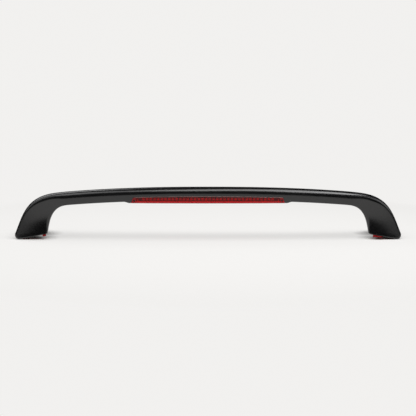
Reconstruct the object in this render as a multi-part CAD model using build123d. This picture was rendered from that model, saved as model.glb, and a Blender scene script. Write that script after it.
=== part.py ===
from build123d import *

import os
from dataclasses import dataclass
from math import atan, cos, pi, radians, sin, tan

# Car rear spoiler: a hollow blow-moulded blade that turns down into two feet, with a brake lamp in its rear face.
# X runs across the car, +Y points to the front of the car and +Z up. The lamp looks along -Y.
# The origin lies on the floor under the middle of the spoiler. Lengths are millimetres and angles degrees.

# Overall size; the span is taken over the feet's outer edges before their toes are rounded
SPAN = 1240.0
DEPTH = 212.0
HEIGHT = 168.0
WALL = 3.0

# Blade
BLADE_THICKNESS = 40.9
BLADE_CHORD = 116.0
CROWN = 17.5
CROWN_POWER = 2.3
SWEEP = 40.0
LIP_HEIGHT = 20.0
LIP_DEPTH = 21.0
FACE_SETBACK = 1.0
LOWER_ROUND = 4.5
NOSE_LENGTH = 11.0
NOSE_TOP = 18.0
NOSE_BOTTOM = 35.0

# Shoulders and feet
SHOULDER_INSET = 174.0
FOOT_WIDTH = 114.0
FLARE = 12.0
BASE_SLOPE = 11.5
TOE_ROUND = 13.0
TOE_CROSSING = 0.02
OUTER_LEAN = 21.3
OUTER_ROUNDNESS = 4.6
INNER_LEAN = 7.7
INNER_ROUNDNESS = 2.75
LEG_EDGE = 6.0
LEG_SETBACK = 7.0
LEG_CORNER = 12.0
FOOT_NOSE_LENGTH = 40.0
FOOT_NOSE_TOP = 22.0
FOOT_NOSE_BOTTOM = 74.0

# Lamp pod and pocket
POD_THICKNESS = 50.0
POD_MARGIN = 5.0
POD_RAMP = 18.0
POCKET_DEPTH = 26.0
POCKET_GAP = 0.5

# Lamp
LENS_HALF = 242.0
LENS_END_SLANT = 7.5
LENS_HEIGHT = 22.8
LENS_END_HEIGHT = 19.0
LENS_WALL = 2.6
LENS_PROUD = 1.2
GASKET = 1.5
GASKET_RIM = 4.0
HOUSING_WALL = 2.0
END_BLOCK = 15.0
BOARD_HEIGHT = 10.0
BOARD_THICKNESS = 1.6
BOARD_Z = 12.0
LED_COUNT = 36
LED_MARGIN = 24.0
LED_SIZE = 7.6
LED_BODY = 3.0
LED_DOME = 2.5
SOCKET_WIDTH = 16.0
SOCKET_HEIGHT = 11.0
SOCKET_LENGTH = 13.0
PIN_RADIUS = 0.8
PIN_PITCH = 6.0

# Lamp fixings
LAMP_SCREW_INSET = 10.0
LAMP_SCREW_Z = 8.5
LAMP_SCREW_SEAT = 15.0
LAMP_SCREW_LENGTH = 24.0
SCREW_RADIUS = 2.0
SCREW_HEAD = 3.2
SCREW_HEAD_HEIGHT = 2.2
SCREW_GAP = 0.3
GROMMET_RADIUS = 3.5
GROMMET_FLANGE = 5.0
GROMMET_FLANGE_HEIGHT = 1.2
GROMMET_LENGTH = 12.0
BOARD_SCREW_INSET = 5.5
BOARD_SCREW_RADIUS = 1.3
BOARD_SCREW_HEAD = 2.3
BOARD_SCREW_HEAD_HEIGHT = 1.6

# Foot fixings
INSERT_INSET = 55.0
INSERT_REAR = 62.0
INSERT_SPACING = 70.0
INSERT_RADIUS = 5.5
INSERT_LENGTH = 15.0
INSERT_FLANGE = 8.0
INSERT_FLANGE_HEIGHT = 1.5
INSERT_BORE = 2.5
INSERT_RECESS = 0.5
INSERT_GAP = 1.0
BOSS_WALL = 4.5
WIRE_HOLE = 7.0
WIRE_BORE = 3.5
WIRE_FLANGE = 9.5
WIRE_FLANGE_HEIGHT = 1.2

# Foam tape and its release film
TAPE_WIDTH = 15.0
TAPE_THICKNESS = 1.2
TAPE_RECESS = 0.8
TAPE_GAP = 0.3
REAR_TAPE_SETBACK = 18.0
REAR_TAPE_START = 4.0
REAR_TAPE_LENGTH = 76.0
FRONT_TAPE_SETBACK = 18.0
FRONT_TAPE_START = 48.0
FRONT_TAPE_LENGTH = 24.0
FILM = 0.25
TAB_REACH = 10.0
TAB_BEND = 2.0
LEFT_TAB_START = 0.0
LEFT_TAB_WIDTH = 11.0
LEFT_TAB_DROP = 5.0
RIGHT_TAB_START = 9.5
RIGHT_TAB_WIDTH = 33.0
RIGHT_TAB_DROP = 9.0
RIGHT_TAB_FLOOR = 8.5

# Values that follow from the sizes above
slope = radians(BASE_SLOPE)
half_span = SPAN / 2
rear_y = -DEPTH / 2
shoulder_x = half_span - SHOULDER_INSET
lean = radians(OUTER_LEAN)
toe_angle = slope + lean
toe_reach = SHOULDER_INSET / cos(slope) - TOE_ROUND * (1 + sin(toe_angle)) / cos(toe_angle)
pivot_z = toe_reach * sin(slope) + TOE_ROUND * (1 - cos(slope))
toe_x = shoulder_x + toe_reach * cos(slope) + TOE_ROUND * sin(slope)
base_angle = pi / 2 + slope
shoulder_tilt = atan(CROWN_POWER * CROWN / shoulder_x)
foot_inner_x = half_span - FOOT_WIDTH * cos(slope)
foot_inner_z = pivot_z - (foot_inner_x - shoulder_x) * tan(slope)
foot_rear = rear_y + SWEEP * (foot_inner_x / half_span) ** 2 - FLARE
foot_length = DEPTH / 2 - foot_rear
lens_z = HEIGHT - POD_THICKNESS
pocket_y = rear_y + POCKET_DEPTH
housing_y = pocket_y - GASKET
pod_half = LENS_HALF + POD_MARGIN
lens_top_half = LENS_HALF - LENS_END_SLANT
lamp_screw_x = LENS_HALF - LAMP_SCREW_INSET
chamber_half = LENS_HALF - END_BLOCK
board_screw_x = chamber_half - BOARD_SCREW_INSET
led_pitch = 2 * (chamber_half - LED_MARGIN) / (LED_COUNT - 1)
base_wall = WALL + TAPE_RECESS


def smooth(value):
    """Ease from 0 to 1 with no slope at either end."""
    t = min(1.0, max(0.0, value))
    return t * t * (3 - 2 * t)


def mix(start, end, t):
    return start + (end - start) * t


def top_z(x):
    """Height of the blade's crest at that place across the car."""
    return HEIGHT - CROWN * abs(x / shoulder_x) ** CROWN_POWER


def bottom_z(x):
    """Height of the blade's lower edge, which drops to the lamp pod in the middle."""
    pod = 1 - smooth((abs(x) - pod_half) / POD_RAMP)
    return mix(top_z(x) - BLADE_THICKNESS, lens_z, pod)


def trailing_y(x):
    """Fore and aft place of the trailing lip, which sweeps forward to the sides."""
    return rear_y + SWEEP * (x / half_span) ** 2


def base_z(x):
    """Height of the right foot's base at that place across the car."""
    return pivot_z - (x - shoulder_x) * tan(slope)


def rounded_corner(angle, height, foot_x, leg_lean, roundness):
    """Distance from the shoulder pivot to a blade line and a leg line that meet in a rounded corner."""
    leg = (foot_x - shoulder_x) * cos(leg_lean + slope) / cos(slope)
    blade_share = max(0.0, cos(angle - shoulder_tilt)) / (height * cos(shoulder_tilt))
    leg_share = sin(angle + leg_lean) / leg
    return (blade_share**roundness + leg_share**roundness) ** (-1 / roundness)


def outer_radius(angle):
    return rounded_corner(angle, top_z(shoulder_x) - pivot_z, half_span, lean, OUTER_ROUNDNESS)


def inner_radius(angle):
    height = top_z(shoulder_x) - BLADE_THICKNESS - pivot_z
    return rounded_corner(angle, height, foot_inner_x, radians(INNER_LEAN), INNER_ROUNDNESS)


@dataclass
class Section:
    """One slice of the body: u runs forward from the trailing edge and v outward from the underside."""

    width: float
    chord: float
    crest: float
    lip: float
    lower: float
    corner: float
    nose_low: float
    nose_high: float
    nose_length: float
    hold: float
    pull: float
    skew: float

    def place(self, point):
        """Point moved forward in step with v by the skew, less so toward the nose."""
        return point + Vector(self.skew * point.Y * (1 - point.X / self.chord), 0)


def slice_at(width, leg, skew=0.0):
    """Slice of that width; leg is 0 on the blade and 1 at the foot."""
    fade = smooth((leg - 0.38) / 0.3)
    t = smooth(leg)
    return Section(
        width=width,
        chord=mix(BLADE_CHORD, foot_length, t),
        crest=mix(LIP_DEPTH, LEG_EDGE, fade),
        lip=mix(LIP_HEIGHT, LEG_EDGE, fade),
        lower=mix(FACE_SETBACK, LEG_SETBACK, t),
        corner=mix(LOWER_ROUND, LEG_CORNER, t),
        nose_low=width - mix(NOSE_BOTTOM, FOOT_NOSE_BOTTOM, t),
        nose_high=width - mix(NOSE_TOP, FOOT_NOSE_TOP, t),
        nose_length=mix(NOSE_LENGTH, FOOT_NOSE_LENGTH, t),
        hold=mix(0.35, 0.6, t),
        pull=mix(0.35, 0.25, t),
        skew=skew,
    )


def hollow(s):
    """The cavity's slice inside a body slice, and how far forward its rear lies."""
    rear = top = 4 / 3 * WALL
    inside = Section(
        width=s.width - WALL - top,
        chord=s.chord - WALL - rear,
        crest=s.crest - rear,
        lip=s.lip - top,
        lower=s.lower,
        corner=s.corner,
        nose_low=s.nose_low,
        nose_high=s.nose_high - 2 * WALL,
        nose_length=s.nose_length,
        hold=s.hold,
        pull=s.pull,
        skew=s.skew,
    )
    return inside, rear


def profile(s):
    """Face of a slice, bounded by six curves: lip, rear face, lower corner, underside, nose and top."""
    crest = Vector(s.crest, s.width)
    lip = Vector(0, s.width - s.lip)
    low = Vector(s.lower, s.corner)
    under = Vector(s.lower + 1.2 * s.corner, 0)
    nose_u = s.chord - s.nose_length
    nose_low = Vector(nose_u, s.nose_low)
    nose_high = Vector(nose_u, s.nose_high)
    face = low - lip
    turn = face.normalized() * 0.55 * s.corner
    under_pull = Vector(s.pull * (nose_u - under.X), 0)
    top_run = nose_u - s.crest
    rise = Vector(-0.3 * top_run, 0.45 * (s.width - s.nose_high))
    nose_pull = Vector(4 / 3 * s.nose_length, 0)
    curves = [
        (crest, Vector(0.45 * s.crest, s.width), Vector(0, s.width - 0.45 * s.lip), lip),
        (lip, lip + Vector(0, 0.3 * face.Y), low - face * 0.4, low),
        (low, low + turn, under - Vector(0.66 * s.corner, 0), under),
        (under, under + under_pull, nose_low - under_pull, nose_low),
        (nose_low, nose_low + nose_pull, nose_high - rise * (nose_pull.X / (0.3 * top_run)), nose_high),
        (nose_high, nose_high + rise, crest + Vector(s.hold * top_run, 0), crest),
    ]
    return make_face([Bezier(*[s.place(point) for point in curve]) for curve in curves])


def blade_slice(x):
    plane = Plane((x, trailing_y(x), bottom_z(x)), x_dir=(0, 1, 0), z_dir=(1, 0, 0))
    return plane, slice_at(top_z(x) - bottom_z(x), 0)


def leg_slice(leg, side):
    """Slice across shoulder or leg in a plane through the pivot; leg is 0 at the shoulder and 1 at the base."""
    angle = leg * base_angle
    inner, outer = inner_radius(angle), outer_radius(angle)
    inner_x, outer_x = [shoulder_x + radius * sin(angle) for radius in (inner, outer)]
    y = trailing_y(inner_x) - FLARE * max(0.0, (leg - 0.4) / 0.6) ** 2
    skew = (trailing_y(outer_x) - trailing_y(inner_x)) / (outer - inner)
    origin = (side * inner_x, y, pivot_z + inner * cos(angle))
    plane = Plane(origin, x_dir=(0, 1, 0), z_dir=(cos(angle), 0, -side * sin(angle)))
    return plane, slice_at(outer - inner, leg, skew)


def half_runs(side):
    """Runs of slices from the lamp pod to one foot: pod's ramp, blade and leg."""
    pod_end = pod_half + POD_RAMP
    ramp = [blade_slice(side * mix(pod_half, pod_end, share)) for share in (0, 0.25, 0.5, 0.75, 1)]
    blade = [blade_slice(side * mix(pod_end, shoulder_x, share)) for share in (0, 0.33, 0.67)]
    leg = [leg_slice(share, side) for share in (0, 0.1, 0.2, 0.3, 0.4, 0.5, 0.6, 0.7, 0.8, 0.9, 1)]
    return [ramp, blade + leg[:1], leg]


def all_runs():
    """Runs of slices from the left foot over the blade to the right foot; each begins where the last one ends."""
    pod = [blade_slice(share * pod_half) for share in (-1, -0.5, 0, 0.5, 1)]
    left = [run[::-1] for run in reversed(half_runs(-1))]
    return left + [pod] + half_runs(1)


def rod_y(x, z, radius, y_from, y_to):
    return Pos(x, (y_from + y_to) / 2, z) * Rot(X=90) * Cylinder(radius, y_to - y_from)


def rod_z(x, y, radius, z_from, z_to):
    return Pos(x, y, (z_from + z_to) / 2) * Cylinder(radius, z_to - z_from)


def block(x_size, y_from, y_to, z_from, z_to, x=0.0):
    middle = Pos(x, (y_from + y_to) / 2, (z_from + z_to) / 2)
    return middle * Box(x_size, y_to - y_from, z_to - z_from)


def both_sides(shape):
    return [shape, mirror(shape, about=Plane.YZ)]


def lamp_prism(grow, y_end):
    """Lamp outline seen from the rear, run forward to y_end and open below."""
    lean = LENS_END_SLANT / LENS_END_HEIGHT
    drop = 10.0
    low_half = LENS_HALF + lean * drop
    end_z = lens_z + LENS_END_HEIGHT
    edges = [
        Line((-low_half, lens_z - drop), (low_half, lens_z - drop)),
        Line((low_half, lens_z - drop), (lens_top_half, end_z)),
        ThreePointArc((lens_top_half, end_z), (0, lens_z + LENS_HEIGHT), (-lens_top_half, end_z)),
        Line((-lens_top_half, end_z), (-low_half, lens_z - drop)),
    ]
    outline = make_face(edges)
    if grow:
        outline = offset(outline, amount=grow, kind=Kind.INTERSECTION)
    rear = rear_y - 20
    return extrude(Plane((0, y_end, 0), x_dir=(1, 0, 0), z_dir=(0, -1, 0)) * outline, amount=y_end - rear)


def foot_plane():
    """Base of the right foot: u forward from its rear edge, v outward from its inner edge, normal down."""
    return Plane((foot_inner_x, foot_rear, foot_inner_z), x_dir=(0, 1, 0), z_dir=(-sin(slope), 0, -cos(slope)))


def pad(u, v, u_size, v_size, z_from, z_to):
    """Block laid on the right foot's base, from z_from to z_to below it."""
    middle = Pos(u + u_size / 2, v + v_size / 2, (z_from + z_to) / 2)
    return foot_plane() * middle * Box(u_size, v_size, z_to - z_from)


def outside_toe(radius):
    """Prism along the car that lies outside the right foot's toe, rounded to that radius about the toe's middle."""
    middle = Vector(toe_x, TOE_ROUND)
    to_leg = Vector(cos(lean), sin(lean))
    to_base = Vector(-sin(slope), -cos(slope))
    arc = ThreePointArc(*[middle + way.normalized() * radius for way in (to_leg, to_leg + to_base, to_base)])
    far = 3 * TOE_ROUND
    corners = [arc @ 1, middle + to_base * far, middle + (to_leg + to_base) * far, middle + to_leg * far, arc @ 0]
    edge = make_face([arc, Polyline(*corners)])
    return extrude(Plane.XZ * edge, amount=DEPTH, both=True)


def inner_profile(s):
    """Face of the cavity's slice inside a body slice."""
    inside, rear = hollow(s)
    return Pos(rear, WALL) * profile(inside)


def skin(draw):
    """Solid over all runs, one loft to a run."""
    lofts = [loft([plane * draw(s) for plane, s in run]) for run in all_runs()]
    return lofts[0] + lofts[1:]


# Outer form of the body; its toes' rounding crosses base and leg by a hair, so that it isn't tangent to them
outer_form = skin(profile) - both_sides(outside_toe(TOE_ROUND + TOE_CROSSING))

# Cavity of the body, less what stands into it: lamp pocket, foot bases and insert bosses
cavity = skin(inner_profile)
insert_x = half_span - INSERT_INSET
insert_ys = [foot_rear + INSERT_REAR, foot_rear + INSERT_REAR + INSERT_SPACING]
insert_z = base_z(insert_x - INSERT_FLANGE - INSERT_GAP) + INSERT_RECESS
insert_top = insert_z + INSERT_LENGTH
bosses = [
    rod_z(side * insert_x, y, INSERT_RADIUS + BOSS_WALL, 0, insert_top + INSERT_GAP + WALL)
    for side in (-1, 1)
    for y in insert_ys
]
base_slab = pad(-foot_length / 2, -FOOT_WIDTH / 2, 2 * foot_length, 2 * FOOT_WIDTH, -base_wall, base_wall)
cavity = cavity - both_sides(base_slab) - both_sides(outside_toe(TOE_ROUND - WALL)) - bosses
cavity = cavity - lamp_prism(POCKET_GAP + WALL, pocket_y + WALL)

# Body
socket_z = lens_z + BOARD_Z
insert_holes = []
for side in (-1, 1):
    for y in insert_ys:
        x = side * insert_x
        insert_holes.append(rod_z(x, y, INSERT_FLANGE + INSERT_GAP, -1, insert_z + INSERT_FLANGE_HEIGHT))
        insert_holes.append(rod_z(x, y, INSERT_RADIUS, 0, insert_top + INSERT_GAP))
screw_z = lens_z + LAMP_SCREW_Z
floor_holes = [
    rod_y(side * lamp_screw_x, screw_z, GROMMET_RADIUS, pocket_y - 1, pocket_y + WALL + 1) for side in (-1, 1)
]
socket_hole = block(
    SOCKET_WIDTH + 2 * POCKET_GAP,
    pocket_y - 1,
    pocket_y + WALL + 1,
    socket_z - SOCKET_HEIGHT / 2 - POCKET_GAP,
    socket_z + SOCKET_HEIGHT / 2 + POCKET_GAP,
)
wire_u = INSERT_REAR + INSERT_SPACING / 2
wire_v = (insert_x - foot_inner_x) / cos(slope)
wire_spot = foot_plane() * Pos(wire_u, wire_v)
wire_hole = mirror(wire_spot * Cylinder(WIRE_HOLE, 4 * base_wall), about=Plane.YZ)
front_tape_u = foot_length - FRONT_TAPE_SETBACK - TAPE_WIDTH
recesses = []
for u, v, length in (
    (REAR_TAPE_SETBACK, REAR_TAPE_START, REAR_TAPE_LENGTH),
    (front_tape_u, FRONT_TAPE_START, FRONT_TAPE_LENGTH),
):
    recess = pad(
        u - TAPE_GAP, v - TAPE_GAP, TAPE_WIDTH + 2 * TAPE_GAP, length + 2 * TAPE_GAP, -TAPE_RECESS, TAPE_RECESS
    )
    recesses += both_sides(recess)
spoiler_body = outer_form - cavity - lamp_prism(POCKET_GAP, pocket_y)
spoiler_body = spoiler_body - insert_holes - floor_holes - [socket_hole, wire_hole] - recesses

# Lamp lens: the rear and lower skin of the pod, with a screw hole in each end
lamp_blank = outer_form.moved(Pos(0, -LENS_PROUD, 0)) & lamp_prism(0, housing_y)
lamp_core = outer_form.moved(Pos(0, LENS_WALL - LENS_PROUD, LENS_WALL))
screw_seat = rear_y + LAMP_SCREW_SEAT
head_holes = [
    rod_y(side * lamp_screw_x, screw_z, SCREW_HEAD + SCREW_GAP, rear_y - 10, screw_seat) for side in (-1, 1)
]
lamp_lens = lamp_blank - lamp_core - head_holes

# Lamp housing: tray with closed ends and a socket at its back
chamber_y = housing_y - HOUSING_WALL
chamber = lamp_prism(-HOUSING_WALL, chamber_y) & block(
    2 * chamber_half, rear_y - 20, chamber_y, lens_z - 20, lens_z + 2 * LENS_HEIGHT
)
pin_xs = [-PIN_PITCH / 2, PIN_PITCH / 2]
socket = block(
    SOCKET_WIDTH, housing_y, housing_y + SOCKET_LENGTH, socket_z - SOCKET_HEIGHT / 2, socket_z + SOCKET_HEIGHT / 2
)
socket_mouth = block(
    SOCKET_WIDTH - 2 * HOUSING_WALL,
    housing_y,
    housing_y + SOCKET_LENGTH + 1,
    socket_z - SOCKET_HEIGHT / 2 + HOUSING_WALL,
    socket_z + SOCKET_HEIGHT / 2 - HOUSING_WALL,
)
board_screw_z = lens_z + BOARD_Z - BOARD_HEIGHT / 4
housing_holes = head_holes + [rod_y(x, socket_z, PIN_RADIUS, chamber_y - 1, housing_y + 1) for x in pin_xs]
for side in (-1, 1):
    x = side * lamp_screw_x
    housing_holes.append(rod_y(x, screw_z, SCREW_RADIUS + SCREW_GAP, screw_seat - 1, housing_y + 1))
    x = side * board_screw_x
    housing_holes.append(rod_y(x, board_screw_z, BOARD_SCREW_RADIUS, chamber_y - 1, housing_y + 1))
lamp_housing = (lamp_blank & lamp_core) - chamber + (socket - socket_mouth) - housing_holes

# Gasket frame between the tray and the pocket floor
gasket_slab = block(4 * LENS_HALF, housing_y, pocket_y, lens_z - 20, lens_z + 2 * LENS_HEIGHT)
gasket_window = lamp_prism(-GASKET_RIM, pocket_y + 1) & block(
    2 * chamber_half - 2 * GASKET_RIM, housing_y - 1, pocket_y + 1, lens_z + GASKET_RIM, lens_z + 2 * LENS_HEIGHT
)
gasket_holes = [
    rod_y(side * lamp_screw_x, screw_z, GROMMET_FLANGE + SCREW_GAP, housing_y - 1, pocket_y + 1) for side in (-1, 1)
]
lamp_gasket = (outer_form & lamp_prism(0, pocket_y) & gasket_slab) - gasket_window - gasket_holes

# Circuit board, diodes, board screws and terminals
board_y = chamber_y - BOARD_THICKNESS
board_z = lens_z + BOARD_Z
led_board = block(
    2 * (chamber_half - POCKET_GAP), board_y, chamber_y, board_z - BOARD_HEIGHT / 2, board_z + BOARD_HEIGHT / 2
)
led_board = led_board - [
    rod_y(side * board_screw_x, board_screw_z, BOARD_SCREW_RADIUS, board_y - 1, chamber_y + 1) for side in (-1, 1)
]
leds = []
for index in range(LED_COUNT):
    x = (index - (LED_COUNT - 1) / 2) * led_pitch
    body = block(LED_SIZE, board_y - LED_BODY, board_y, board_z - LED_SIZE / 2, board_z + LED_SIZE / 2, x)
    leds.append(body + Pos(x, board_y - LED_BODY, board_z) * Sphere(LED_DOME))
board_screws = []
for side in (-1, 1):
    x = side * board_screw_x
    head = rod_y(x, board_screw_z, BOARD_SCREW_HEAD, board_y - BOARD_SCREW_HEAD_HEIGHT, board_y)
    board_screws.append(head + rod_y(x, board_screw_z, BOARD_SCREW_RADIUS, board_y, housing_y))
lamp_terminals = [rod_y(x, socket_z, PIN_RADIUS, chamber_y, housing_y + 0.75 * SOCKET_LENGTH) for x in pin_xs]

# Lamp screws and the nylon grommets that they bite into
lamp_screws = []
screw_grommets = []
for side in (-1, 1):
    x = side * lamp_screw_x
    head = rod_y(x, screw_z, SCREW_HEAD, screw_seat - SCREW_HEAD_HEIGHT, screw_seat)
    lamp_screws.append(head + rod_y(x, screw_z, SCREW_RADIUS, screw_seat, screw_seat + LAMP_SCREW_LENGTH))
    flange = rod_y(x, screw_z, GROMMET_FLANGE, pocket_y - GROMMET_FLANGE_HEIGHT, pocket_y)
    stem = rod_y(x, screw_z, GROMMET_RADIUS, pocket_y, pocket_y + GROMMET_LENGTH)
    bore = rod_y(x, screw_z, SCREW_RADIUS, pocket_y - 2, pocket_y + GROMMET_LENGTH + 1)
    screw_grommets.append(flange + stem - bore)

# Threaded inserts in the feet and the grommet for the lamp's lead
mount_inserts = []
for side in (-1, 1):
    for y in insert_ys:
        x = side * insert_x
        flange = rod_z(x, y, INSERT_FLANGE, insert_z, insert_z + INSERT_FLANGE_HEIGHT)
        stem = rod_z(x, y, INSERT_RADIUS, insert_z, insert_top)
        mount_inserts.append(flange + stem - rod_z(x, y, INSERT_BORE, insert_z - 1, insert_top + 1))
rim = Pos(Z=-base_wall - WIRE_FLANGE_HEIGHT / 2) * Cylinder(WIRE_FLANGE, WIRE_FLANGE_HEIGHT)
neck = Pos(Z=-base_wall / 2) * Cylinder(WIRE_HOLE, base_wall)
lead_bore = Cylinder(WIRE_BORE, 4 * (base_wall + WIRE_FLANGE_HEIGHT))
outer_rim = Pos(Z=WIRE_FLANGE_HEIGHT / 2) * Cylinder(WIRE_FLANGE, WIRE_FLANGE_HEIGHT)
wire_grommet = mirror(wire_spot * (rim + neck + outer_rim - lead_bore), about=Plane.YZ)

# Foam tape and its film on the right foot's base; the left foot's are mirrored
tape_foot = TAPE_THICKNESS - TAPE_RECESS
film_foot = tape_foot + FILM


def pull_tab(start, width, drop):
    """End of the rear film: runs rearward, bends down and hangs below the foot."""
    v = REAR_TAPE_START + start
    u = REAR_TAPE_SETBACK - TAB_REACH
    flat = pad(u, v, TAB_REACH, width, tape_foot, film_foot)
    bend = Cylinder(TAB_BEND + FILM, width) - Cylinder(TAB_BEND, width)
    bend = (Rot(X=90) * bend) & (Pos(-TAB_BEND, 0, -TAB_BEND) * Box(2 * TAB_BEND, width, 2 * TAB_BEND))
    bend = foot_plane() * Pos(u, v + width / 2, film_foot + TAB_BEND) * bend
    flap = pad(u - TAB_BEND - FILM, v, FILM, width, film_foot + TAB_BEND, drop)
    return flat + bend + flap


def rear_film(start, width, drop):
    film = pad(REAR_TAPE_SETBACK, REAR_TAPE_START, TAPE_WIDTH, REAR_TAPE_LENGTH, tape_foot, film_foot)
    return film + pull_tab(start, width, drop)


rear_tape = pad(REAR_TAPE_SETBACK, REAR_TAPE_START, TAPE_WIDTH, REAR_TAPE_LENGTH, -TAPE_RECESS, tape_foot)
front_tape = pad(front_tape_u, FRONT_TAPE_START, TAPE_WIDTH, FRONT_TAPE_LENGTH, -TAPE_RECESS, tape_foot)
front_film = pad(front_tape_u, FRONT_TAPE_START, TAPE_WIDTH, FRONT_TAPE_LENGTH, tape_foot, film_foot)
left_rear_film = mirror(rear_film(LEFT_TAB_START, LEFT_TAB_WIDTH, LEFT_TAB_DROP), about=Plane.YZ)
below_tab = block(2 * SPAN, -DEPTH, foot_rear + REAR_TAPE_SETBACK, -HEIGHT, RIGHT_TAB_FLOOR)
right_rear_film = rear_film(RIGHT_TAB_START, RIGHT_TAB_WIDTH, RIGHT_TAB_DROP) - below_tab

nodes = {
    "spoiler_body": [spoiler_body],
    "lamp_housing": [lamp_housing],
    "lamp_gasket": [lamp_gasket],
    "led_board": [led_board],
    "leds": leds,
    "board_screws": board_screws,
    "lamp_terminals": lamp_terminals,
    "lamp_lens": [lamp_lens],
    "lamp_screws": lamp_screws,
    "screw_grommets": screw_grommets,
    "mount_inserts": mount_inserts,
    "wire_grommet": [wire_grommet],
    "right_rear_tape": [rear_tape],
    "right_front_tape": [front_tape],
    "left_rear_tape": [mirror(rear_tape, about=Plane.YZ)],
    "left_front_tape": [mirror(front_tape, about=Plane.YZ)],
    "right_rear_liner": [right_rear_film],
    "right_front_liner": [front_film],
    "left_rear_liner": [left_rear_film],
    "left_front_liner": [mirror(front_film, about=Plane.YZ)],
}

# The toes reach below zero by their crossing, so every node is set down on the floor
set_down = Pos(Z=-outer_form.bounding_box().min.Z)
os.makedirs("parts", exist_ok=True)
for name, shapes in nodes.items():
    solids = [solid.moved(set_down) for shape in shapes for solid in shape.solids()]
    export_step(Compound(children=solids), f"parts/{name}.step")
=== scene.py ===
from math import atan, atan2, cos, pi, radians, sin, sqrt, tan

import bmesh
import bpy
from mathutils import Matrix, Vector
from mathutils.geometry import interpolate_bezier


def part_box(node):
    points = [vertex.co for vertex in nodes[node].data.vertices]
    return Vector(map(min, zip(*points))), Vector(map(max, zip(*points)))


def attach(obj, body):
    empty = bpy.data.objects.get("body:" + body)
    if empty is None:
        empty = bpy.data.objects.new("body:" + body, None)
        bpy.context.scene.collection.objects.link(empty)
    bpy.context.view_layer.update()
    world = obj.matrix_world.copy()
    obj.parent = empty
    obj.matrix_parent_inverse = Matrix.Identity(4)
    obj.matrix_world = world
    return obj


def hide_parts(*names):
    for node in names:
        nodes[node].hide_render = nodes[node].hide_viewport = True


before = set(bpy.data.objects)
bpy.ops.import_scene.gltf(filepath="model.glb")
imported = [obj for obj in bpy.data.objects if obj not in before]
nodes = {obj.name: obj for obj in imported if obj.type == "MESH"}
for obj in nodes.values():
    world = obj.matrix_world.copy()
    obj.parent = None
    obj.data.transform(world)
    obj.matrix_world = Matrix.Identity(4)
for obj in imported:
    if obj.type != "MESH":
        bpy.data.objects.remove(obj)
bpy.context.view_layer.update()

# Spoiler body: one hollow shell of black ABS, blow moulded and left satin with a fine grain.
# One section runs along the blade, turns over each shoulder and spreads into a foot. The lamp's pocket,
# the seats of the inserts and the recesses for the tape are cut into it afterwards.
MM = 0.001
SPAN = 1240.0
DEPTH = 212.0
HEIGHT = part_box("spoiler_body")[1].z / MM
FOOT_LIFT = 0.19
BLADE_THICKNESS = 40.9
BLADE_CHORD = 116.0
CROWN = 17.5
CROWN_POWER = 2.3
SWEEP = 40.0
LIP_HEIGHT = 20.0
LIP_DEPTH = 21.0
LIP_FADE_START = 0.3
LIP_FADE_LENGTH = 0.5
FACE_SETBACK = 1.0
LOWER_ROUND = 4.5
NOSE_LENGTH = 11.0
NOSE_TOP = 18.0
NOSE_BOTTOM = 35.0
SHOULDER_INSET = 174.0
FOOT_WIDTH = 114.0
BASE_SLOPE = radians(11.5)
BASE_ROUND = 2.2
OUTER_LEAN = radians(21.3)
OUTER_ROUNDNESS = 4.6
TOE_ROUND = 13.0
INNER_LEAN = radians(7.7)
INNER_ROUNDNESS = 2.75
FLARE = 12.0
FLARE_START = 0.25
FLARE_POWER = 2
FLARE_FADE = 0.2
LEG_BOW = 10.0
BOW_PEAK = 0.35
LEG_EDGE = 6.0
LEG_SETBACK = 7.0
LEG_CORNER = 12.0
FOOT_NOSE_LENGTH = 40.0
FOOT_NOSE_TOP = 22.0
FOOT_NOSE_BOTTOM = 74.0
POD_THICKNESS = 50.0
POD_HALF = 247.0
POD_RAMP = 18.0
POCKET_DEPTH = 26.0
POCKET_GAP = 0.2

half_span = SPAN / 2
rear_y = -DEPTH / 2
shoulder_x = half_span - SHOULDER_INSET
toe_angle = BASE_SLOPE + OUTER_LEAN
toe_reach = SHOULDER_INSET / cos(BASE_SLOPE) - TOE_ROUND * (1 + sin(toe_angle)) / cos(toe_angle)
pivot_z = FOOT_LIFT + toe_reach * sin(BASE_SLOPE) + TOE_ROUND * (1 - cos(BASE_SLOPE))
toe_x = toe_reach * cos(BASE_SLOPE) + TOE_ROUND * sin(BASE_SLOPE)
toe_z = TOE_ROUND * cos(BASE_SLOPE) - toe_reach * sin(BASE_SLOPE)
base_angle = pi / 2 + BASE_SLOPE
toe_start = pi / 2 - atan2(toe_z + TOE_ROUND * sin(OUTER_LEAN), toe_x + TOE_ROUND * cos(OUTER_LEAN))
shoulder_tilt = atan(CROWN_POWER * CROWN / shoulder_x)
foot_inner_x = half_span - FOOT_WIDTH * cos(BASE_SLOPE)
foot_rear = rear_y + SWEEP * (foot_inner_x / half_span) ** 2 - FLARE
foot_length = DEPTH / 2 - foot_rear
foot_inner_z = pivot_z - (foot_inner_x - shoulder_x) * tan(BASE_SLOPE)
lens_z = HEIGHT - POD_THICKNESS
pocket_y = rear_y + POCKET_DEPTH


def at(x, y, z):
    """Place in metres of a point given in millimetres."""
    return Vector((x, y, z)) * MM


def ease(value):
    """From 0 to 1 with no slope at either end."""
    t = min(1.0, max(0.0, value))
    return t * t * (3 - 2 * t)


def mix(start, end, t):
    return start + (end - start) * t


def top_z(x):
    return HEIGHT - CROWN * abs(x / shoulder_x) ** CROWN_POWER


def bottom_z(x):
    pod = 1 - ease((abs(x) - POD_HALF) / POD_RAMP)
    return mix(top_z(x) - BLADE_THICKNESS, lens_z, pod)


def trailing_y(x):
    return rear_y + SWEEP * (x / half_span) ** 2


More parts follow.
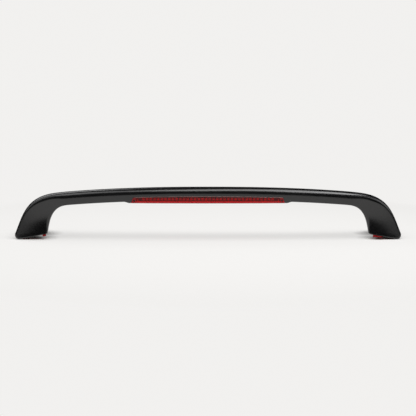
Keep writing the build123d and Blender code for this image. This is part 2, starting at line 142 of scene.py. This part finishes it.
def corner_radius(angle, height, foot_x, lean, roundness):
    """Distance from the shoulder's pivot to a blade line and a leg line that meet in a rounded corner."""
    leg = (foot_x - shoulder_x) * cos(lean + BASE_SLOPE) / cos(BASE_SLOPE)
    blade_share = max(0.0, cos(angle - shoulder_tilt)) / (height * cos(shoulder_tilt))
    leg_share = sin(angle + lean) / leg
    return (blade_share**roundness + leg_share**roundness) ** (-1 / roundness)


def outer_radius(angle):
    """Distance from the pivot to the outer skin, which rounds in to the base at the toe."""
    radius = corner_radius(angle, top_z(shoulder_x) - pivot_z, half_span, OUTER_LEAN, OUTER_ROUNDNESS)
    along = toe_x * sin(angle) + toe_z * cos(angle)
    toe = along + sqrt(max(0.0, TOE_ROUND**2 - toe_x**2 - toe_z**2 + along**2))
    return min(radius, toe) if angle > toe_start else radius


def inner_radius(angle):
    height = top_z(shoulder_x) - BLADE_THICKNESS - pivot_z
    return corner_radius(angle, height, foot_inner_x, INNER_LEAN, INNER_ROUNDNESS)


# Shares that set the handles of the section's curves. In a pair, the first is for the blade and the second
# for the foot.
LIP_PULL = 0.45
FACE_TOP_PULL = 0.3
FACE_LOW_PULL = 0.4
CORNER_SPREAD = 1.2
CORNER_FACE_PULL = 0.55
CORNER_UNDER_PULL = 0.66
UNDER_PULL = (0.35, 0.25)
NOSE_PULL = 4 / 3
TOP_NOSE_PULL = 0.3
TOP_NOSE_RISE = 0.45
TOP_CREST_PULL = (0.35, 0.6)


def section_curves(width, leg, skew=0.0, toe=0.0, inset=0.0, bow=0.0):
    """Six cubic curves round a slice: lip, rear face, lower corner, underside, nose and top.
    They run in u, forward from the lip, and v, outward from the underside; leg is 1 at the foot.
    skew leans the slice forward as it goes outward, and bow draws its rear edge in. toe is the width
    lost to the rounded toe, and inset the rounding of the base's other edges."""
    fade = ease((leg - LIP_FADE_START) / LIP_FADE_LENGTH)
    turn = ease(leg)
    corner = mix(LOWER_ROUND, LEG_CORNER, turn)
    nose_length = mix(NOSE_LENGTH, FOOT_NOSE_LENGTH, turn)
    nose_u = mix(BLADE_CHORD, foot_length, turn) - nose_length
    lip_drop = mix(LIP_HEIGHT, LEG_EDGE, fade)
    crest = Vector((mix(LIP_DEPTH, LEG_EDGE, fade), width))
    lip = Vector((0, width - lip_drop))
    low = Vector((mix(FACE_SETBACK, LEG_SETBACK, turn), corner))
    under = Vector((low.x + CORNER_SPREAD * corner, 0))
    nose_low = Vector((nose_u, width + toe - mix(NOSE_BOTTOM, FOOT_NOSE_BOTTOM, turn)))
    nose_high = Vector((nose_u, width + toe - mix(NOSE_TOP, FOOT_NOSE_TOP, turn)))
    face = low - lip
    bend = face.normalized() * CORNER_FACE_PULL * corner
    under_pull = Vector((mix(*UNDER_PULL, turn) * (nose_u - under.x), 0))
    top_run = nose_u - crest.x
    rise = Vector((-TOP_NOSE_PULL * top_run, TOP_NOSE_RISE * (width - nose_high.y)))
    nose_pull = Vector((NOSE_PULL * nose_length, 0))
    back = rise * (nose_pull.x / (TOP_NOSE_PULL * top_run))
    over = Vector((mix(*TOP_CREST_PULL, turn) * top_run, 0))
    curves = [
        (crest, Vector((LIP_PULL * crest.x, width)), Vector((0, width - LIP_PULL * lip_drop)), lip),
        (lip, lip + Vector((0, FACE_TOP_PULL * face.y)), low - FACE_LOW_PULL * face, low),
        (low, low + bend, under - Vector((CORNER_UNDER_PULL * corner, 0)), under),
        (under, under + under_pull, nose_low - under_pull, nose_low),
        (nose_low, nose_low + nose_pull, nose_high - back, nose_high),
        (nose_high, nose_high + rise, crest + over, crest),
    ]
    chord = nose_u + nose_length
    shrink = Vector((1 - 2 * inset / chord, 1 - inset / width))
    margin = Vector((inset, inset))
    return [[sheared(margin + point * shrink, skew, bow, chord) for point in curve] for curve in curves]


def sheared(point, skew, bow, chord):
    """Point moved forward by the bow and in step with its distance outward, less so toward the nose."""
    return Vector((point.x + (bow + skew * point.y) * (1 - point.x / chord), point.y))


def blade_station(x):
    """Slice across the blade: its origin, its direction outward and its sizes."""
    return Vector((x, trailing_y(x), bottom_z(x))), Vector((0, 0, 1)), (top_z(x) - bottom_z(x), 0.0)


def leg_station(angle, side):
    """Slice across a shoulder or leg, turned by the angle about the shoulder's pivot."""
    inner, outer = inner_radius(angle), outer_radius(angle)
    leg = angle / base_angle
    inner_x = shoulder_x + inner * sin(angle)
    flare = FLARE * max(0.0, (leg - FLARE_START) / (1 - FLARE_START)) ** FLARE_POWER
    bow = LEG_BOW * ease(leg / BOW_PEAK) * min(1.0, (1 - leg) / (1 - BOW_PEAK))
    y = trailing_y(inner_x) - flare
    full = corner_radius(angle, top_z(shoulder_x) - pivot_z, half_span, OUTER_LEAN, OUTER_ROUNDNESS)
    sweep = trailing_y(shoulder_x + full * sin(angle)) - trailing_y(inner_x)
    skew = (sweep + FLARE_FADE * flare - bow) / (full - inner)
    nearness = 1 - min(1.0, inner * sin(base_angle - angle) / BASE_ROUND)
    inset = BASE_ROUND * (1 - sqrt(max(0.0, 1 - nearness**2)))
    origin = Vector((side * inner_x, y, pivot_z + inner * cos(angle)))
    outward = Vector((side * sin(angle), 0, cos(angle)))
    return origin, outward, (outer - inner, leg, skew, full - outer, inset, bow)


def ring(mesh, points):
    """Closed loop of edges through the points."""
    verts = [mesh.verts.new(point) for point in points]
    return [mesh.edges.new(pair) for pair in zip(verts, verts[1:] + verts[:1])]


def loft(mesh, rings):
    """Skin over a row of rings, closed at both ends."""
    for near, far in zip(rings, rings[1:]):
        bmesh.ops.bridge_loops(mesh, edges=near + far)
    for end in (rings[0], rings[-1]):
        bmesh.ops.edgeloop_fill(mesh, edges=end)
    bmesh.ops.recalc_face_normals(mesh, faces=mesh.faces)


def new_object(name, mesh):
    data = bpy.data.meshes.new(name)
    mesh.to_mesh(data)
    mesh.free()
    made = bpy.data.objects.new(name, data)
    bpy.context.scene.collection.objects.link(made)
    return made


SHARP_ANGLE = radians(35)


def shade(piece):
    """Smooth shading, kept sharp where faces meet at more than the sharp angle."""
    piece.data.shade_smooth()
    piece.data.set_sharp_from_angle(angle=SHARP_ANGLE)


def cut(piece, *cutters):
    """Takes the cutters out of the piece and removes them."""
    for cutter in cutters:
        step = piece.modifiers.new(cutter.name, "BOOLEAN")
        step.operation = "DIFFERENCE"
        step.solver = "EXACT"
        step.object = cutter
    whole = piece.evaluated_get(bpy.context.evaluated_depsgraph_get())
    data = bpy.data.meshes.new_from_object(whole)
    piece.modifiers.clear()
    piece.data = data
    for cutter in cutters:
        bpy.data.objects.remove(cutter)


# Steps along each curve of the section, and how the sections are spaced along the body.
RING_STEPS = (14, 20, 8, 12, 14, 22)
BLADE_STEP = 20.0
RAMP_START = 240.0
RAMP_STEP = 3.25
RAMP_STEPS = 8
OUTER_STEPS = 11
LEG_STEPS = 34
TOE_STEPS = 14
ramp_end = RAMP_START + RAMP_STEP * RAMP_STEPS
blade_xs = [BLADE_STEP * i for i in range(int(RAMP_START / BLADE_STEP))]
blade_xs += [RAMP_START + RAMP_STEP * i for i in range(RAMP_STEPS + 1)]
blade_xs += [mix(ramp_end, shoulder_x, i / OUTER_STEPS) for i in range(1, OUTER_STEPS)]
angles = [toe_start * i / LEG_STEPS for i in range(LEG_STEPS)]
toe_turn = pi / 2 + OUTER_LEAN + BASE_SLOPE
for step in range(TOE_STEPS + 1):
    lean = OUTER_LEAN - toe_turn * step / TOE_STEPS
    angles.append(pi / 2 - atan2(toe_z + TOE_ROUND * sin(lean), toe_x + TOE_ROUND * cos(lean)))
stations = [leg_station(angle, -1) for angle in reversed(angles)]
stations += [blade_station(-x) for x in reversed(blade_xs[1:])]
stations += [blade_station(x) for x in blade_xs]
stations += [leg_station(angle, 1) for angle in angles]

body = bmesh.new()
body_rings = []
for origin, outward, sizes in stations:
    points = []
    for curve, steps in zip(section_curves(*sizes), RING_STEPS):
        for u, v in interpolate_bezier(*curve, steps + 1)[:-1]:
            points.append(at(*(origin + Vector((0, u, 0)) + outward * v)))
    body_rings.append(ring(body, points))
loft(body, body_rings)
spoiler = new_object("spoiler_shell", body)

LENS_HALF = 242.0
LENS_END_SLANT = 7.5
LENS_END_HEIGHT = 19.0
LENS_HEIGHT = 22.8
lens_lean = LENS_END_SLANT / LENS_END_HEIGHT
lens_top_half = LENS_HALF - LENS_END_SLANT
lens_sag = LENS_HEIGHT - LENS_END_HEIGHT
lens_arc = (lens_top_half**2 + lens_sag**2) / (2 * lens_sag)


def lamp_top(x):
    """Height of the lamp's upper edge, an arc that is highest in the middle."""
    return lens_z + LENS_HEIGHT - lens_arc + sqrt(lens_arc**2 - x**2)


def lamp_end(z):
    """Half length of the lamp at that height, between its slanted ends."""
    return LENS_HALF - lens_lean * (z - lens_z)


POCKET_DROP = 10.0
POCKET_ARC_STEPS = 32
pocket = bmesh.new()
low_end = lamp_end(lens_z - POCKET_DROP) + POCKET_GAP
high_end = lamp_end(lens_z + LENS_END_HEIGHT) + POCKET_GAP
outline = [at(side * low_end, rear_y - POCKET_DROP, lens_z - POCKET_DROP) for side in (-1, 1)]
for step in range(POCKET_ARC_STEPS + 1):
    x = high_end * (1 - 2 * step / POCKET_ARC_STEPS)
    outline.append(at(x, rear_y - POCKET_DROP, lamp_top(x) + POCKET_GAP))
bmesh.ops.contextual_create(pocket, geom=ring(pocket, outline))
deep = bmesh.ops.extrude_face_region(pocket, geom=pocket.faces[:])["geom"]
deep_verts = [item for item in deep if isinstance(item, bmesh.types.BMVert)]
bmesh.ops.translate(pocket, verts=deep_verts, vec=Vector((0, (POCKET_DEPTH + POCKET_DROP) * MM, 0)))
bmesh.ops.recalc_face_normals(pocket, faces=pocket.faces)

TAPE_WIDTH = 15.0
TAPE_SETBACK = 18.0
TAPE_RECESS = 0.8
TAPE_GAP = 0.3
REAR_TAPE_START = 4.0
REAR_TAPE_LENGTH = 76.0
FRONT_TAPE_START = 48.0
FRONT_TAPE_LENGTH = 24.0
rear_tape = (TAPE_SETBACK, REAR_TAPE_START, REAR_TAPE_LENGTH)
front_tape = (foot_length - TAPE_SETBACK - TAPE_WIDTH, FRONT_TAPE_START, FRONT_TAPE_LENGTH)
base_run, base_fall = cos(BASE_SLOPE), sin(BASE_SLOPE)
foot_axes = Matrix(((0, base_run, -base_fall), (1, 0, 0), (0, -base_fall, -base_run)))
foot_frame = Matrix.Translation(at(foot_inner_x, foot_rear, foot_inner_z)) @ foot_axes.to_4x4()
mirrored = Matrix.Diagonal((-1, 1, 1, 1))

INSERT_FLANGE = 8.0
INSERT_GAP = 1.0
INSERT_RADIUS = 5.5
INSERT_FLANGE_HEIGHT = 1.5
WIRE_HOLE = 7.0
SEAT_START = -10.0
DRILL_SIDES = 48
inserts_low, inserts_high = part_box("mount_inserts")
insert_x = inserts_high.x - INSERT_FLANGE * MM
insert_ys = (inserts_low.y + INSERT_FLANGE * MM, inserts_high.y - INSERT_FLANGE * MM)
seat_z = inserts_low.z + INSERT_FLANGE_HEIGHT * MM
wire_low, wire_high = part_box("wire_grommet")
wire_spot = (wire_low + wire_high) / 2


def drill(mesh, place, radius, depth):
    """Cylinder along the place's Z axis, with half of its depth to either side."""
    bmesh.ops.create_cone(
        mesh,
        cap_ends=True,
        segments=DRILL_SIDES,
        radius1=radius * MM,
        radius2=radius * MM,
        depth=depth,
        matrix=place,
    )


def drill_up(mesh, x, y, radius, bottom, top):
    """Upright cylinder between two heights."""
    drill(mesh, Matrix.Translation((x, y, (bottom + top) / 2)), radius, top - bottom)


seats = bmesh.new()
bores = bmesh.new()
for side in (Matrix.Identity(4), mirrored):
    for u, v, length in (rear_tape, front_tape):
        middle = Vector((u + TAPE_WIDTH / 2, v + length / 2, 0)) * MM
        size = Vector((TAPE_WIDTH + 2 * TAPE_GAP, length + 2 * TAPE_GAP, 2 * TAPE_RECESS)) * MM
        place = side @ foot_frame @ Matrix.Translation(middle) @ Matrix.Diagonal(size.to_4d())
        bmesh.ops.create_cube(seats, size=1, matrix=place)
    for y in insert_ys:
        x = insert_x * side[0][0]
        drill_up(seats, x, y, INSERT_FLANGE + INSERT_GAP, SEAT_START * MM, seat_z)
        drill_up(bores, x, y, INSERT_RADIUS, 0, inserts_high.z + INSERT_GAP * MM)
drill_up(bores, wire_spot.x, wire_spot.y, WIRE_HOLE, 0, wire_high.z)
for mesh in (seats, bores):
    bmesh.ops.recalc_face_normals(mesh, faces=mesh.faces)
cut(
    spoiler,
    new_object("lamp_pocket", pocket),
    new_object("foot_seats", seats),
    new_object("foot_bores", bores),
)
shade(spoiler)


def add_node(tree, kind, **inputs):
    """Shader node with its named sockets set; a space in a socket's name is written as an underscore."""
    made = tree.nodes.new(kind)
    for name, value in inputs.items():
        made.inputs[name.replace("_", " ")].default_value = value
    return made


def noise_on_object(tree, scale, detail=2.0):
    """Noise fixed to the piece, so many cycles to the metre."""
    place = add_node(tree, "ShaderNodeTexCoord")
    noise = add_node(tree, "ShaderNodeTexNoise", Scale=scale, Detail=detail, Roughness=0.5)
    tree.links.new(place.outputs["Object"], noise.inputs["Vector"])
    return noise.outputs["Fac"]


NOISE_LOW = 0.3
NOISE_HIGH = 0.7


def remap(tree, value, low, high, start=NOISE_LOW, end=NOISE_HIGH):
    """Value spread from low to high between its start and its end."""
    spread = add_node(tree, "ShaderNodeMapRange")
    spread.inputs["From Min"].default_value = start
    spread.inputs["From Max"].default_value = end
    spread.inputs["To Min"].default_value = low
    spread.inputs["To Max"].default_value = high
    tree.links.new(value, spread.inputs["Value"])
    return spread.outputs["Result"]


def tint(tree, value, dark, light):
    """Colour between dark and light by the value."""
    ramp = add_node(tree, "ShaderNodeValToRGB")
    ramp.color_ramp.elements[0].color = (*dark, 1)
    ramp.color_ramp.elements[0].position = NOISE_LOW
    ramp.color_ramp.elements[1].color = (*light, 1)
    ramp.color_ramp.elements[1].position = NOISE_HIGH
    tree.links.new(value, ramp.inputs["Fac"])
    return ramp.outputs["Color"]


def bump(tree, height, strength, distance):
    made = add_node(tree, "ShaderNodeBump", Strength=strength, Distance=distance)
    tree.links.new(height, made.inputs["Height"])
    return made.outputs["Normal"]


def finish(name, dark, light, gloss, patch=40.0, grain=900.0, depth=0.00004, strength=0.3, **sockets):
    """Surface with patches of tone, a roughness that wanders between the two of gloss, and a fine grain."""
    material = bpy.data.materials.new(name)
    material.use_nodes = True
    tree = material.node_tree
    shader = tree.nodes["Principled BSDF"]
    for socket, value in sockets.items():
        shader.inputs[socket.replace("_", " ")].default_value = value
    patches = noise_on_object(tree, patch, detail=4.0)
    tree.links.new(tint(tree, patches, dark, light), shader.inputs["Base Color"])
    tree.links.new(remap(tree, patches, *gloss), shader.inputs["Roughness"])
    fine = noise_on_object(tree, grain)
    tree.links.new(bump(tree, fine, strength, depth), shader.inputs["Normal"])
    return material


black_abs = finish(
    "black_abs",
    (0.0031, 0.0031, 0.0034),
    (0.0055, 0.0055, 0.0059),
    (0.20, 0.25),
    patch=14.0,
    grain=1300.0,
    strength=0.18,
    Specular_IOR_Level=0.66,
)
spoiler.data.materials.clear()
spoiler.data.materials.append(black_abs)
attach(spoiler, "root")
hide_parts("spoiler_body")

# Lamp housing: the moulded tray of the brake lamp, with a screw block at each end and a socket behind.
# It is a light grey, so that it throws the light of the diodes back, and it seats on a foam gasket.
grey_tray = finish("grey_tray", (0.36, 0.36, 0.355), (0.42, 0.42, 0.415), (0.4, 0.5), Specular_IOR_Level=0.4)
gasket_foam = finish("gasket_foam", (0.02, 0.02, 0.02), (0.035, 0.035, 0.036), (0.85, 0.95), grain=2500.0)


def repaint(material, *names):
    """Puts a material on nodes whose shape stays as it is."""
    for name in names:
        nodes[name].data.materials.clear()
        nodes[name].data.materials.append(material)


repaint(grey_tray, "lamp_housing")
repaint(gasket_foam, "lamp_gasket")

# Circuit board: glass-fibre strip with a dark green mask and a grey printed band behind the diodes.
# Two small pan-head screws of zinc-plated steel hold it to the tray.
BAND_HALF = 3.4
MASK_GREEN = (0.008, 0.028, 0.017)
BAND_GREY = (0.13, 0.13, 0.125)
board_low, board_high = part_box("led_board")
board_z = (board_low.z + board_high.z) / 2
board_green = finish("board_green", MASK_GREEN, MASK_GREEN, (0.3, 0.4), patch=300.0)
tree = board_green.node_tree
place = add_node(tree, "ShaderNodeTexCoord")
parts = add_node(tree, "ShaderNodeSeparateXYZ")
from_row = tree.nodes.new("ShaderNodeMath")
from_row.operation = "COMPARE"
from_row.inputs[1].default_value = board_z
from_row.inputs[2].default_value = BAND_HALF * MM
tree.links.new(place.outputs["Object"], parts.inputs["Vector"])
tree.links.new(parts.outputs["Z"], from_row.inputs[0])
band = tint(tree, from_row.outputs["Value"], MASK_GREEN, BAND_GREY)
tree.links.new(band, tree.nodes["Principled BSDF"].inputs["Base Color"])
repaint(board_green, "led_board")
bright_steel = finish(
    "bright_steel", (0.62, 0.61, 0.59), (0.72, 0.71, 0.69), (0.45, 0.55), patch=200.0, Metallic=1.0
)
repaint(bright_steel, "board_screws")

# Diodes: a row of square clear epoxy bodies, each with a round dome that gathers its light.
# They are soldered to the board side by side, close behind the lens.
led_epoxy = finish("led_epoxy", (0.72, 0.70, 0.68), (0.80, 0.78, 0.76), (0.12, 0.2), Specular_IOR_Level=0.6)
repaint(led_epoxy, "leds")

# Lens: red acrylic, moulded as the rear and lower skin of the lamp and welded to the tray.
# Its top edge is rolled over and left matt, in a pale pinkish grey that is a painted highlight along it, and
# two holes in its ends let the lamp's screws through.
LENS_WALL = 2.6
LENS_PROUD = 1.2
LENS_EDGE = 1.6
EDGE_STEPS = 5
GASKET = 1.5
LENS_STATIONS = 60
SKIN_STEPS = (40, 10, 60)
SKIN_POINTS = 36
housing_y = pocket_y - GASKET


def skin_line(x, top, shift_y, shift_z):
    """Pod's skin at x, from that height down the rear face and forward under it to the tray."""
    curves = section_curves(top_z(x) - lens_z, 0)
    line = []
    for curve, steps in zip(curves[1:4], SKIN_STEPS):
        line += interpolate_bezier(*curve, steps + 1)[:-1]
    line = [Vector((trailing_y(x) + u + shift_y, lens_z + v + shift_z)) for u, v in line]
    below = [point for point in line if point.y <= top and point.x <= housing_y]
    above = line[line.index(below[0]) - 1]
    return [below[0].lerp(above, (top - below[0].y) / (above.y - below[0].y))] + below


def rolled_edge(start):
    """Quarter circle from the lens's top down to the start of its rear face."""
    turns = [pi / 2 * step / EDGE_STEPS for step in range(EDGE_STEPS, 0, -1)]
    return [start + LENS_EDGE * Vector((1 - cos(turn), sin(turn))) for turn in turns]


def even(points, count):
    """The same line with so many points evenly spaced along it."""
    lengths = [0.0]
    for a, b in zip(points, points[1:]):
        lengths.append(lengths[-1] + (b - a).length)
    result = []
    index = 0
    for step in range(count):
        goal = lengths[-1] * step / (count - 1)
        while index < len(points) - 2 and lengths[index + 1] < goal:
            index += 1
        span = lengths[index + 1] - lengths[index]
        result.append(points[index].lerp(points[index + 1], (goal - lengths[index]) / span))
    return result


lens_skin = bmesh.new()
lens_rings = []
for step in range(LENS_STATIONS + 1):
    share = 2 * step / LENS_STATIONS - 1
    x = share * LENS_HALF
    top = lamp_top(x)
    outside = even(skin_line(x, top - LENS_EDGE, -LENS_PROUD, 0), SKIN_POINTS)
    inside = even(skin_line(x, top, LENS_WALL - LENS_PROUD, LENS_WALL), SKIN_POINTS)
    section = rolled_edge(outside[0]) + outside + inside[::-1]
    lens_rings.append(ring(lens_skin, [at(share * lamp_end(z), y, z) for y, z in section]))
loft(lens_skin, lens_rings)
lens = new_object("lens_shell", lens_skin)
LAMP_SCREW_X = 232.0
LAMP_SCREW_Z = 8.5
SCREW_CLEAR = 3.5
holes = bmesh.new()
for side in (-1, 1):
    spot = at(side * LAMP_SCREW_X, rear_y, lens_z + LAMP_SCREW_Z)
    place = Matrix.Translation(spot) @ Matrix.Rotation(pi / 2, 4, "X")
    drill(holes, place, SCREW_CLEAR, 2 * POCKET_DEPTH * MM)
cut(lens, new_object("lens_holes", holes))
shade(lens)
red_acrylic = finish(
    "red_acrylic",
    (0.70, 0.007, 0.010),
    (0.77, 0.009, 0.0135),
    (0.03, 0.06),
    patch=60.0,
    grain=400.0,
    depth=0.00001,
    Transmission_Weight=1.0,
    IOR=1.3,
)
tree = red_acrylic.node_tree
clear_red = add_node(tree, "ShaderNodeBsdfTransparent", Color=(0.85, 0.03, 0.04, 1))
path = add_node(tree, "ShaderNodeLightPath")
blend = add_node(tree, "ShaderNodeMixShader")
tree.links.new(path.outputs["Is Shadow Ray"], blend.inputs["Fac"])
tree.links.new(tree.nodes["Principled BSDF"].outputs["BSDF"], blend.inputs[1])
tree.links.new(clear_red.outputs["BSDF"], blend.inputs[2])
tree.links.new(blend.outputs["Shader"], tree.nodes["Material Output"].inputs["Surface"])
# Painted highlight: an opaque pale pinkish grey on the rolled top edge stands in for the bright line of light
# along it.
painted_highlight_edge = finish("painted_highlight_edge", (0.15, 0.098, 0.091), (0.195, 0.124, 0.117), (0.35, 0.45), patch=80.0)
lens.data.materials.clear()
lens.data.materials.append(red_acrylic)
lens.data.materials.append(painted_highlight_edge)
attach(lens, "root")
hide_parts("lamp_lens")
# The faces of the rolled top edge, which face up and back, get the painted highlight.
HIGHLIGHT_FACES_UP = 0.3
HIGHLIGHT_FACES_BACK = 0.2
for face in lens.data.polygons:
    if face.normal.z > HIGHLIGHT_FACES_UP and face.normal.y < -HIGHLIGHT_FACES_BACK:
        face.material_index = 1

# Lamp screws and their grommets: a black-plated steel screw goes through each end of the lamp.
# It bites into a nylon grommet that is pushed into the pocket's floor.
black_steel = finish("black_steel", (0.05, 0.05, 0.052), (0.07, 0.07, 0.072), (0.3, 0.45), Metallic=1.0)
repaint(black_steel, "lamp_screws")
white_nylon = finish("white_nylon", (0.68, 0.67, 0.62), (0.74, 0.73, 0.69), (0.45, 0.55))
repaint(white_nylon, "screw_grommets")

# Foot fixings: threaded brass inserts moulded into the bases, two to a foot, and a rubber grommet pushed into
# a hole in the left base. The two pins in the lamp's socket are brass as well.
brass = finish("brass", (0.60, 0.44, 0.18), (0.70, 0.53, 0.24), (0.25, 0.4), patch=200.0, Metallic=1.0)
repaint(brass, "mount_inserts", "lamp_terminals")
rubber = finish("rubber", (0.012, 0.012, 0.012), (0.02, 0.02, 0.02), (0.6, 0.75))
repaint(rubber, "wire_grommet")

# Foam tape: grey double-sided strips that are stuck into the recesses of the feet.
# A thin red release film covers each of them, and the rear ones end in pull tabs.
tape_foam = finish("tape_foam", (0.05, 0.05, 0.052), (0.07, 0.07, 0.072), (0.8, 0.9), grain=2500.0)
repaint(tape_foam, *[name for name in nodes if name.endswith("_tape")])
red_film = finish(
    "red_film",
    (0.195, 0.0026, 0.004),
    (0.247, 0.004, 0.0065),
    (0.3, 0.4),
    patch=120.0,
    grain=150.0,
    depth=0.0003,
    Specular_IOR_Level=0.12,
)
repaint(red_film, *[name for name in nodes if name.endswith("_liner")])

# Floor: pale matt paper, lit round the feet so that their shadow shows.
# Away from them it blends into one even tone, for the most part under the blade and wholly further out.
PALE = (0.885, 0.876, 0.862)
FLOOR_HALF = 40
FOOT_SPOT = (0.565, 0.05, 0)
NEAR_START = 0.03
NEAR_END = 0.093
NEAR_SHARE = 0.75
FAR_START = 0.65
FAR_END = 1.1


def vector_step(tree, operation, vector):
    """Vector node that works on the vector."""
    made = tree.nodes.new("ShaderNodeVectorMath")
    made.operation = operation
    tree.links.new(vector, made.inputs[0])
    return made


def combine(tree, operation, a, b):
    """Value that the operation makes of two others."""
    made = tree.nodes.new("ShaderNodeMath")
    made.operation = operation
    tree.links.new(a, made.inputs[0])
    tree.links.new(b, made.inputs[1])
    return made.outputs["Value"]


floor_mesh = bmesh.new()
bmesh.ops.create_grid(floor_mesh, x_segments=1, y_segments=1, size=FLOOR_HALF)
floor = new_object("floor", floor_mesh)
paper = bpy.data.materials.new("floor_paper")
paper.use_nodes = True
tree = paper.node_tree
tree.nodes.remove(tree.nodes["Principled BSDF"])
matt = add_node(tree, "ShaderNodeBsdfDiffuse", Color=(*PALE, 1))
even_light = add_node(tree, "ShaderNodeEmission", Color=(*PALE, 1), Strength=1.0)
path = add_node(tree, "ShaderNodeLightPath")
place = add_node(tree, "ShaderNodeTexCoord")
across = vector_step(tree, "ABSOLUTE", place.outputs["Object"])
to_foot = vector_step(tree, "DISTANCE", across.outputs["Vector"])
to_foot.inputs[1].default_value = FOOT_SPOT
to_middle = vector_step(tree, "LENGTH", place.outputs["Object"])
near = remap(tree, to_foot.outputs["Value"], 0.0, NEAR_SHARE, start=NEAR_START, end=NEAR_END)
far = remap(tree, to_middle.outputs["Value"], 0.0, 1.0, start=FAR_START, end=FAR_END)
seen = combine(tree, "MAXIMUM", path.outputs["Is Camera Ray"], path.outputs["Is Glossy Ray"])
seen = combine(tree, "MAXIMUM", seen, path.outputs["Is Transmission Ray"])
blend = add_node(tree, "ShaderNodeMixShader")
share = combine(tree, "MULTIPLY", seen, combine(tree, "MAXIMUM", near, far))
tree.links.new(share, blend.inputs["Fac"])
tree.links.new(matt.outputs["BSDF"], blend.inputs[1])
tree.links.new(even_light.outputs["Emission"], blend.inputs[2])
tree.links.new(blend.outputs["Shader"], tree.nodes["Material Output"].inputs["Surface"])
floor.data.materials.append(paper)

# Studio: a dark room that is as pale as the floor where the camera looks straight at it.
# Soft boxes hang over the blade, behind it and at both sides, with a narrow key lamp at the upper right.
SKY_WHITE = (1.0, 0.995, 0.985, 1)
SKY_SEEN = 0.025
SKY_SHED = 0.26
world = bpy.data.worlds.new("studio")
bpy.context.scene.world = world
world.use_nodes = True
tree = world.node_tree
sky = tree.nodes["Background"]
sky.inputs["Color"].default_value = SKY_WHITE
pale = add_node(tree, "ShaderNodeBackground", Color=(*PALE, 1), Strength=1.0)
path = add_node(tree, "ShaderNodeLightPath")
blend = add_node(tree, "ShaderNodeMixShader")
seen = combine(tree, "MAXIMUM", path.outputs["Is Camera Ray"], path.outputs["Is Transmission Ray"])
tree.links.new(seen, blend.inputs["Fac"])
level = remap(tree, path.outputs["Is Diffuse Ray"], SKY_SEEN, SKY_SHED, start=0, end=1)
tree.links.new(level, sky.inputs["Strength"])
tree.links.new(sky.outputs["Background"], blend.inputs[1])
tree.links.new(pale.outputs["Background"], blend.inputs[2])
tree.links.new(blend.outputs["Shader"], tree.nodes["World Output"].inputs["Surface"])
AIM = Vector((0, -0.06, 0.1))


def soft_box(name, place, width, height, power):
    """Rectangular lamp that looks at the spoiler."""
    data = bpy.data.lights.new(name, "AREA")
    data.shape = "RECTANGLE"
    data.size = width
    data.size_y = height
    data.energy = power
    lamp = bpy.data.objects.new(name, data)
    lamp.location = place
    lamp.rotation_euler = (AIM - Vector(place)).to_track_quat("-Z", "Y").to_euler()
    bpy.context.scene.collection.objects.link(lamp)


soft_box("overhead", (0.32, -0.44, 1.77), 1.9, 0.75, 17.3)
soft_box("overhead_left", (-0.95, -0.44, 1.72), 0.8, 0.75, 4.1)
soft_box("key", (0.75, -0.45, 1.5), 1.1, 0.35, 4.5)
soft_box("back", (-1.1, 0.9, 1.5), 1.8, 0.7, 9.0)
soft_box("left_side", (-1.85, -0.55, 1.25), 1.3, 1.2, 5.3)
soft_box("right_side", (1.85, -0.55, 1.25), 1.3, 1.2, 7.5)

# Camera: a long lens behind the car, looking down a little on the blade, as in the photograph.
# It aims a little above the spoiler's middle, which so lies just below the middle of the picture.
CAMERA_DISTANCE = 4.0
CAMERA_ELEVATION = radians(8)
LENS_LENGTH = 109.2
SENSOR_WIDTH = 36
AIM_RISE = 0.0055
target = Vector((0, -0.06, 0.0925))
view = bpy.data.cameras.new("view")
view.lens = LENS_LENGTH
view.sensor_width = SENSOR_WIDTH
camera = bpy.data.objects.new("view", view)
camera.location = target + CAMERA_DISTANCE * Vector((0, -cos(CAMERA_ELEVATION), sin(CAMERA_ELEVATION)))
aim = target + Vector((0, 0, AIM_RISE))
camera.rotation_euler = (aim - camera.location).to_track_quat("-Z", "Y").to_euler()
bpy.context.scene.collection.objects.link(camera)
bpy.context.scene.camera = camera
bpy.context.scene.view_settings.view_transform = "Standard"
